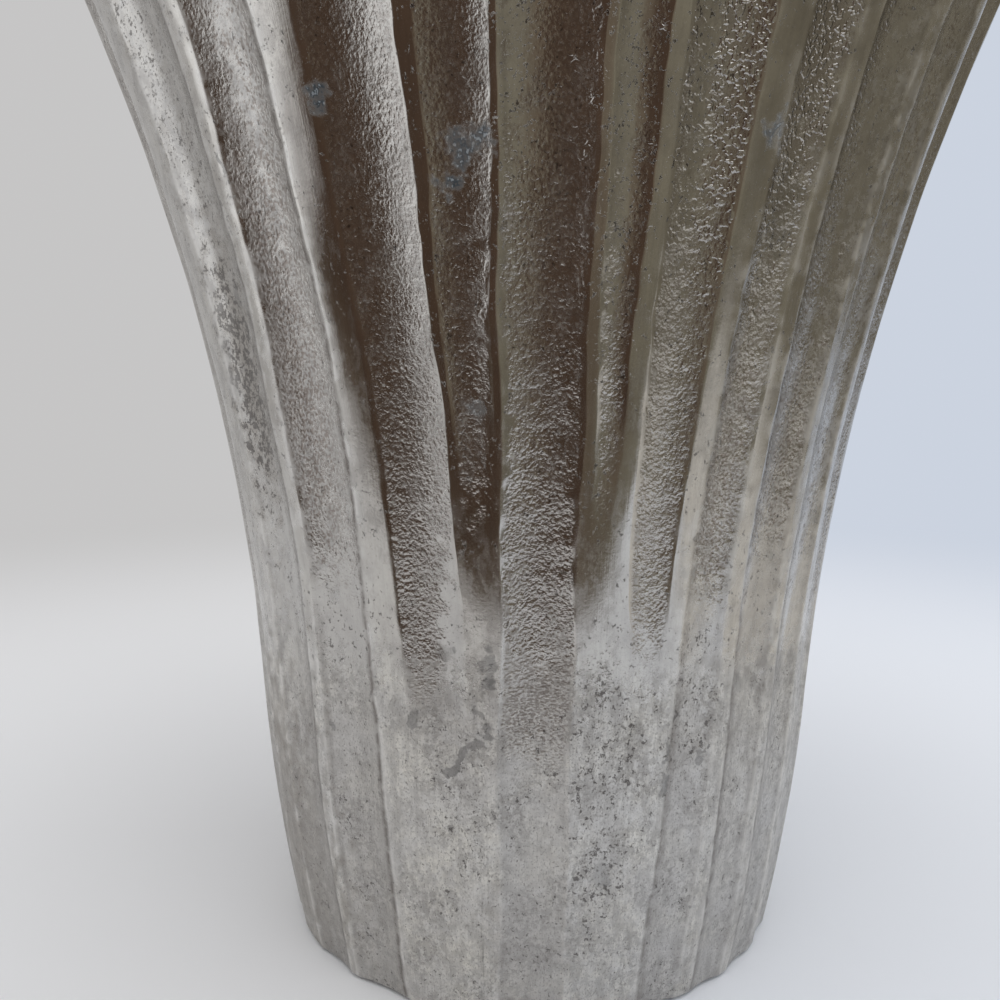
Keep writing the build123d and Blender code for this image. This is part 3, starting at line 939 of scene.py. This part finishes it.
def turned_aluminium():
    """Plate turned on a lathe: fine rings about the axis."""
    material, place = part_material("turned_aluminium")
    inputs = {"Vector": place, "Scale": 1.0 / RINGS_SIZE, "Detail": RINGS_DETAIL}
    inputs["Distortion"] = RINGS_DISTORTION
    rings = add("ShaderNodeTexWave", inputs, "Fac", wave_type="RINGS", rings_direction="Z")
    clouds = noise(place, PLATE_CLOUDS)
    inputs = {"Base Color": blend_colours(clouds, *PLATE_METAL), "Metallic": 1.0}
    inputs |= {"Roughness": ramp(clouds, PLATE_ROUGHNESS), "Normal": bump(rings * RINGS_HEIGHT)}
    show(add("ShaderNodeBsdfPrincipled", inputs))
    return material


def screw_steel():
    """Stainless screws with faint machining marks."""
    material, place = part_material("screw_steel")
    marks = noise(place, SCREW_MARKS)
    inputs = {"Base Color": blend_colours(marks, *SCREW_METAL), "Metallic": 1.0}
    inputs |= {"Roughness": ramp(marks, SCREW_ROUGHNESS), "Normal": bump(marks * SCREW_MARKS.height)}
    show(add("ShaderNodeBsdfPrincipled", inputs))
    return material


def dark_compound(kind):
    """Dark rubber or plastic with a fine grain and dusty patches."""
    material, place = part_material(kind.name)
    dust = pattern(place, DUST)
    dusty = Climb(0.0, 1.0, kind.roughness, kind.roughness + DUST_ROUGHNESS)
    inputs = {"Base Color": blend_colours(dust, *kind.colours), "Roughness": ramp(dust, dusty)}
    inputs["Normal"] = bump(noise(place, kind.grain) * kind.grain.height)
    show(add("ShaderNodeBsdfPrincipled", inputs))
    return material


def pad_felt():
    """Pressed felt: matted fibres with a soft sheen."""
    material, place = part_material("pad_felt")
    fibres = noise(stretched(place, (1.0, FIBRE_STRETCH, 1.0)), FIBRES)
    crossed = noise(stretched(place, (FIBRE_STRETCH, 1.0, 1.0)), FIBRES)
    matted = fibres + crossed
    inputs = {"Base Color": blend_colours(ramp(matted, WOOL_LEVELS), *WOOL), "Roughness": WOOL_ROUGHNESS}
    inputs |= {"Sheen Weight": WOOL_SHEEN, "Normal": bump(matted * FIBRES.height)}
    show(add("ShaderNodeBsdfPrincipled", inputs))
    return material


# Felt pads: punched discs, a little compressed at the edge
PAD_COUNT = 4
PAD_SEGMENTS = 64
PAD_BULGE = 0.25 * MM
PAD_FUZZ = 0.06 * MM
PAD_SEED = 31
PAD_MIDDLE = 0.5  # where the flat faces' inner ring is, as a share of the radius
# Outline of a pad's side: how many bulges it is drawn in, and the share of the thickness above the foot
PAD_SIDE = ((2.0, 0.0), (0.6, 0.12), (0.0, 0.4), (0.0, 0.7), (0.4, 1.0))


def make_felt_pad(node, material):
    """Felt disc in the place of its plain solid, with a worn edge and an uneven side."""
    low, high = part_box(node)
    middle, radius = (low + high) / 2, (high.x - low.x) / 2
    thickness = high.z - low.z
    side = [(radius - inwards * PAD_BULGE, low.z + share * thickness) for inwards, share in PAD_SIDE]
    outline = [(radius * PAD_MIDDLE, low.z), *side, (radius * PAD_MIDDLE, high.z)]
    random = np.random.default_rng(PAD_SEED)
    turn = np.linspace(0.0, 2.0 * np.pi, PAD_SEGMENTS, endpoint=False)
    points = [(middle.x, middle.y, low.z)]
    for ring_radius, height in outline:
        fuzz = random.uniform(0.0, PAD_FUZZ, PAD_SEGMENTS)
        for angle, short in zip(turn, fuzz):
            reach = ring_radius - short
            points.append((middle.x + reach * np.cos(angle), middle.y + reach * np.sin(angle), height))
    points.append((middle.x, middle.y, high.z))
    faces = []
    for column in range(PAD_SEGMENTS):
        beside = (column + 1) % PAD_SEGMENTS
        faces.append((0, 1 + beside, 1 + column))
        for row in range(len(outline) - 1):
            below, above = 1 + row * PAD_SEGMENTS, 1 + (row + 1) * PAD_SEGMENTS
            faces.append((below + column, below + beside, above + beside, above + column))
        last = 1 + (len(outline) - 1) * PAD_SEGMENTS
        faces.append((last + column, last + beside, len(points) - 1))
    piece = make_piece("soft_" + node, points, faces)
    piece.data.materials.append(material)
    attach(piece, "vase")
    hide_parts(node)


def dress(node, material):
    """Gives a solid that stays in view its finish."""
    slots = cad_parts[node].data.materials
    slots.clear()
    slots.append(material)


make_casting().data.materials.append(cast_aluminium())
dress("base_plate", turned_aluminium())
dress("base_screws", screw_steel())
dress("base_gasket", dark_compound(RUBBER))
dress("water_liner", dark_compound(PLASTIC))
felt = pad_felt()
for number in range(1, PAD_COUNT + 1):
    make_felt_pad(f"felt_pad_{number}", felt)


# Table, surroundings and light
TABLE_SIZE = 12.0
TABLE_EDGE = 250.0 * MM  # in front of the axis, where the mirrored surroundings turn dark
TABLE_NEAR_EDGE = 155.0 * MM  # where that edge is at the far left
TABLE_LEFT_CORNER = -70.0 * MM  # from the axis to the right, where that edge turns
TABLE_CORNER = 95.0 * MM
TABLE_TURN = 220.0 * MM
TABLE_TURN_EDGE = 300.0 * MM
TABLE_FAR_EDGE = 340.0 * MM
BEIGE_START = 220.0 * MM  # to the right of the axis, where they turn beige
CARD_REACH = 950.0 * MM
CARD_HEIGHT = 1200.0 * MM
CARD_DEPTH = 110.0 * MM  # how far back the card on the right goes, and its wall
WALL_DEPTH = 800.0 * MM
CARD_LIFT = 0.5 * MM
BACK_SPREAD = np.tan(np.radians(19.0))  # of the dark card behind the vase, which the front doesn't mirror
BACKGROUND_LEFT = rgb(0.565, 0.56, 0.56)
BACKGROUND_RIGHT = rgb(0.6, 0.65, 0.74)
TABLE_LEFT = rgb(0.8, 0.8, 0.805)
TABLE_RIGHT = rgb(0.8, 0.825, 0.87)
RED_ROOM = rgb(0.098, 0.064, 0.045)
BROWN_ROOM = rgb(0.185, 0.148, 0.11)
OLIVE_ROOM = rgb(0.262, 0.24, 0.188)
SHADE_ROOM = rgb(0.215, 0.194, 0.15)
BEIGE_ROOM = rgb(0.72, 0.705, 0.675)
AMBIENT = rgb(0.58, 0.58, 0.59)
TABLE_FADE = Climb(0.18, 0.75)  # distance over which the table fades into the background
RIGHT_TURN = Climb(-0.35, 0.35)  # from the colours on the left to those on the right
ROOM_NEAR = Climb(250.0 * MM, 310.0 * MM, 0.5, 0.0)  # browner near the table's edge
ROOM_BROWN = Climb(np.radians(0.0), np.radians(12.0))  # and then by the heading, from the front to the right
ROOM_OLIVE = Climb(np.radians(14.0), np.radians(32.0))
ROOM_SHADE = Climb(np.radians(40.0), np.radians(70.0))
ROOM_GAIN = Climb(250.0 * MM, 600.0 * MM, 0.82, 1.06)
BEIGE_TO_OLIVE = Climb(350.0 * MM, 560.0 * MM)
Lamp = namedtuple("Lamp", "name place turn width height watts colour")
LAMPS = (
    Lamp("left_window", (-0.62, -0.17, 0.36), (90.0, 0.0, -90.0), 0.38, 0.7, 0.53, (0.93, 0.96, 1.0)),
    Lamp("top_light", (0.25, -0.3, 1.2), (14.0, 12.0, 0.0), 1.8, 1.8, 13.0, (0.98, 0.99, 1.0)),
)


def rightness(direction):
    """How far to the right a direction points, from 0 to 1."""
    return ramp(coordinate(combine("NORMALIZE", direction), "X"), RIGHT_TURN)


def seen_directly(tree):
    """One for rays that show the background: from the camera, or mirrored or bent on their way."""
    straight = add("ShaderNodeLightPath", {}, "Is Camera Ray", tree)
    mirrored = add("ShaderNodeLightPath", {}, "Is Glossy Ray", tree)
    bent = add("ShaderNodeLightPath", {}, "Is Transmission Ray", tree)
    return larger(straight, larger(mirrored, bent))


def table_material():
    """Pale table that keeps the shadow near the vase and fades into the background far away."""
    material, tree = new_material("table")
    place = add("ShaderNodeNewGeometry", {}, "Position", tree)
    far = ramp(combine("LENGTH", place), TABLE_FADE) * seen_directly(tree)
    right = rightness(place)
    near = add("ShaderNodeBsdfDiffuse", {"Color": blend_colours(right, TABLE_LEFT, TABLE_RIGHT)})
    background = blend_colours(right, BACKGROUND_LEFT, BACKGROUND_RIGHT)
    glow = add("ShaderNodeEmission", {"Color": background})
    show(add("ShaderNodeMixShader", {0: far, 1: near, 2: glow}))
    return material


def room_material():
    """Surroundings that only reflections see: dark red brown in front, turning olive grey to the right."""
    material, tree = new_material("dark_room")
    place = add("ShaderNodeNewGeometry", {}, "Position", tree)
    ahead = coordinate(place, "Y") * -1.0
    heading = calculate("ARCTAN2", coordinate(place, "X"), ahead)
    paler = larger(ramp(ahead, ROOM_NEAR), ramp(heading, ROOM_BROWN))
    colour = blend_colours(paler, RED_ROOM, BROWN_ROOM)
    colour = blend_colours(ramp(heading, ROOM_OLIVE), colour, OLIVE_ROOM)
    colour = blend_colours(ramp(heading, ROOM_SHADE), colour, SHADE_ROOM)
    show(add("ShaderNodeEmission", {"Color": colour, "Strength": ramp(ahead, ROOM_GAIN)}))
    return material


def back_material():
    material, tree = new_material("back_room")
    show(add("ShaderNodeEmission", {"Color": BROWN_ROOM}, tree=tree))
    return material


def beige_material():
    """Wall on the right that only reflections see: beige, turning olive grey farther off."""
    material, tree = new_material("beige_room")
    across = coordinate(add("ShaderNodeNewGeometry", {}, "Position", tree), "X")
    colour = blend_colours(ramp(across, BEIGE_TO_OLIVE), BEIGE_ROOM, SHADE_ROOM)
    show(add("ShaderNodeEmission", {"Color": colour}))
    return material


def make_stage(name, points, faces, material, mirrored_only=False):
    piece = make_piece(name, points, faces)
    piece.data.materials.append(material)
    if mirrored_only:
        piece.visible_camera = False
        piece.visible_diffuse = False
        piece.visible_transmission = False
        piece.visible_shadow = False


def make_surroundings():
    half = TABLE_SIZE / 2
    table = [(-half, -half, 0.0), (half, -half, 0.0), (half, half, 0.0), (-half, half, 0.0)]
    make_stage("table", table, [(0, 1, 2, 3)], table_material())
    edge = [
        (-CARD_REACH, -TABLE_NEAR_EDGE),
        (TABLE_LEFT_CORNER, -TABLE_EDGE),
        (TABLE_CORNER, -TABLE_EDGE),
        (TABLE_TURN, -TABLE_TURN_EDGE),
        (CARD_REACH, -TABLE_FAR_EDGE),
    ]
    front = []
    for x, y in edge:
        front += [(x, y, CARD_LIFT), (x, -CARD_REACH, CARD_LIFT), (x, -CARD_REACH, CARD_HEIGHT)]
    front += [(CARD_REACH, -TABLE_FAR_EDGE, CARD_HEIGHT)]
    last = len(front) - 4
    front_faces = [(last, last + 1, last + 2, last + 3)]
    for low in range(0, last, 3):
        front_faces += [(low, low + 1, low + 4, low + 3), (low + 1, low + 2, low + 5, low + 4)]
    make_stage("front_card", front, front_faces, room_material(), mirrored_only=True)
    back = []
    for y, z in ((TABLE_EDGE, CARD_LIFT), (CARD_REACH, CARD_LIFT), (CARD_REACH, CARD_HEIGHT)):
        back += [(-BACK_SPREAD * y, y, z), (BACK_SPREAD * y, y, z)]
    make_stage("back_card", back, [(0, 1, 3, 2), (2, 3, 5, 4)], back_material(), mirrored_only=True)
    right = [
        (BEIGE_START, -TABLE_TURN_EDGE, CARD_LIFT),
        (CARD_REACH, -TABLE_FAR_EDGE, CARD_LIFT),
        (CARD_REACH, CARD_DEPTH, CARD_LIFT),
        (BEIGE_START, CARD_DEPTH, CARD_LIFT),
        (CARD_REACH, WALL_DEPTH, CARD_LIFT),
        (CARD_REACH, WALL_DEPTH, CARD_HEIGHT),
        (CARD_REACH, -TABLE_FAR_EDGE, CARD_HEIGHT),
    ]
    make_stage("right_card", right, [(0, 1, 2, 3), (1, 4, 5, 6)], beige_material(), mirrored_only=True)


def make_lamp(kind):
    lamp = bpy.data.lights.new(kind.name, "AREA")
    lamp.shape = "RECTANGLE"
    lamp.size, lamp.size_y = kind.width, kind.height
    lamp.energy = kind.watts
    lamp.color = kind.colour
    holder = bpy.data.objects.new(kind.name, lamp)
    holder.location = kind.place
    holder.rotation_euler = Euler([np.radians(angle) for angle in kind.turn])
    holder.visible_camera = False
    bpy.context.scene.collection.objects.link(holder)


def make_world():
    world = bpy.data.worlds.new("studio")
    bpy.context.scene.world = world
    world.use_nodes = True
    tree = world.node_tree
    tree.nodes.clear()
    direction = add("ShaderNodeTexCoord", {}, "Generated", tree)
    background = blend_colours(rightness(direction), BACKGROUND_LEFT, BACKGROUND_RIGHT)
    colour = blend_colours(seen_directly(tree), AMBIENT, background)
    show(add("ShaderNodeBackground", {"Color": colour}), "ShaderNodeOutputWorld")


def make_camera():
    camera = bpy.data.objects.new("camera", bpy.data.cameras.new("camera"))
    camera.data.lens = LENS
    camera.data.sensor_width = SENSOR
    camera.data.clip_start = CLIP_START
    camera.location = (0.0, -CAMERA_DISTANCE, CAMERA_HEIGHT)
    yaw = Euler((0.0, 0.0, np.radians(CAMERA_YAW))).to_matrix()
    pitch = Euler((np.radians(90.0 - CAMERA_PITCH), 0.0, 0.0)).to_matrix()
    roll = Euler((0.0, 0.0, np.radians(CAMERA_ROLL))).to_matrix()
    camera.rotation_euler = (yaw @ pitch @ roll).to_euler()
    bpy.context.scene.collection.objects.link(camera)
    bpy.context.scene.camera = camera


make_surroundings()
for kind in LAMPS:
    make_lamp(kind)
make_world()
make_camera()
bpy.context.scene.view_settings.view_transform = "Standard"
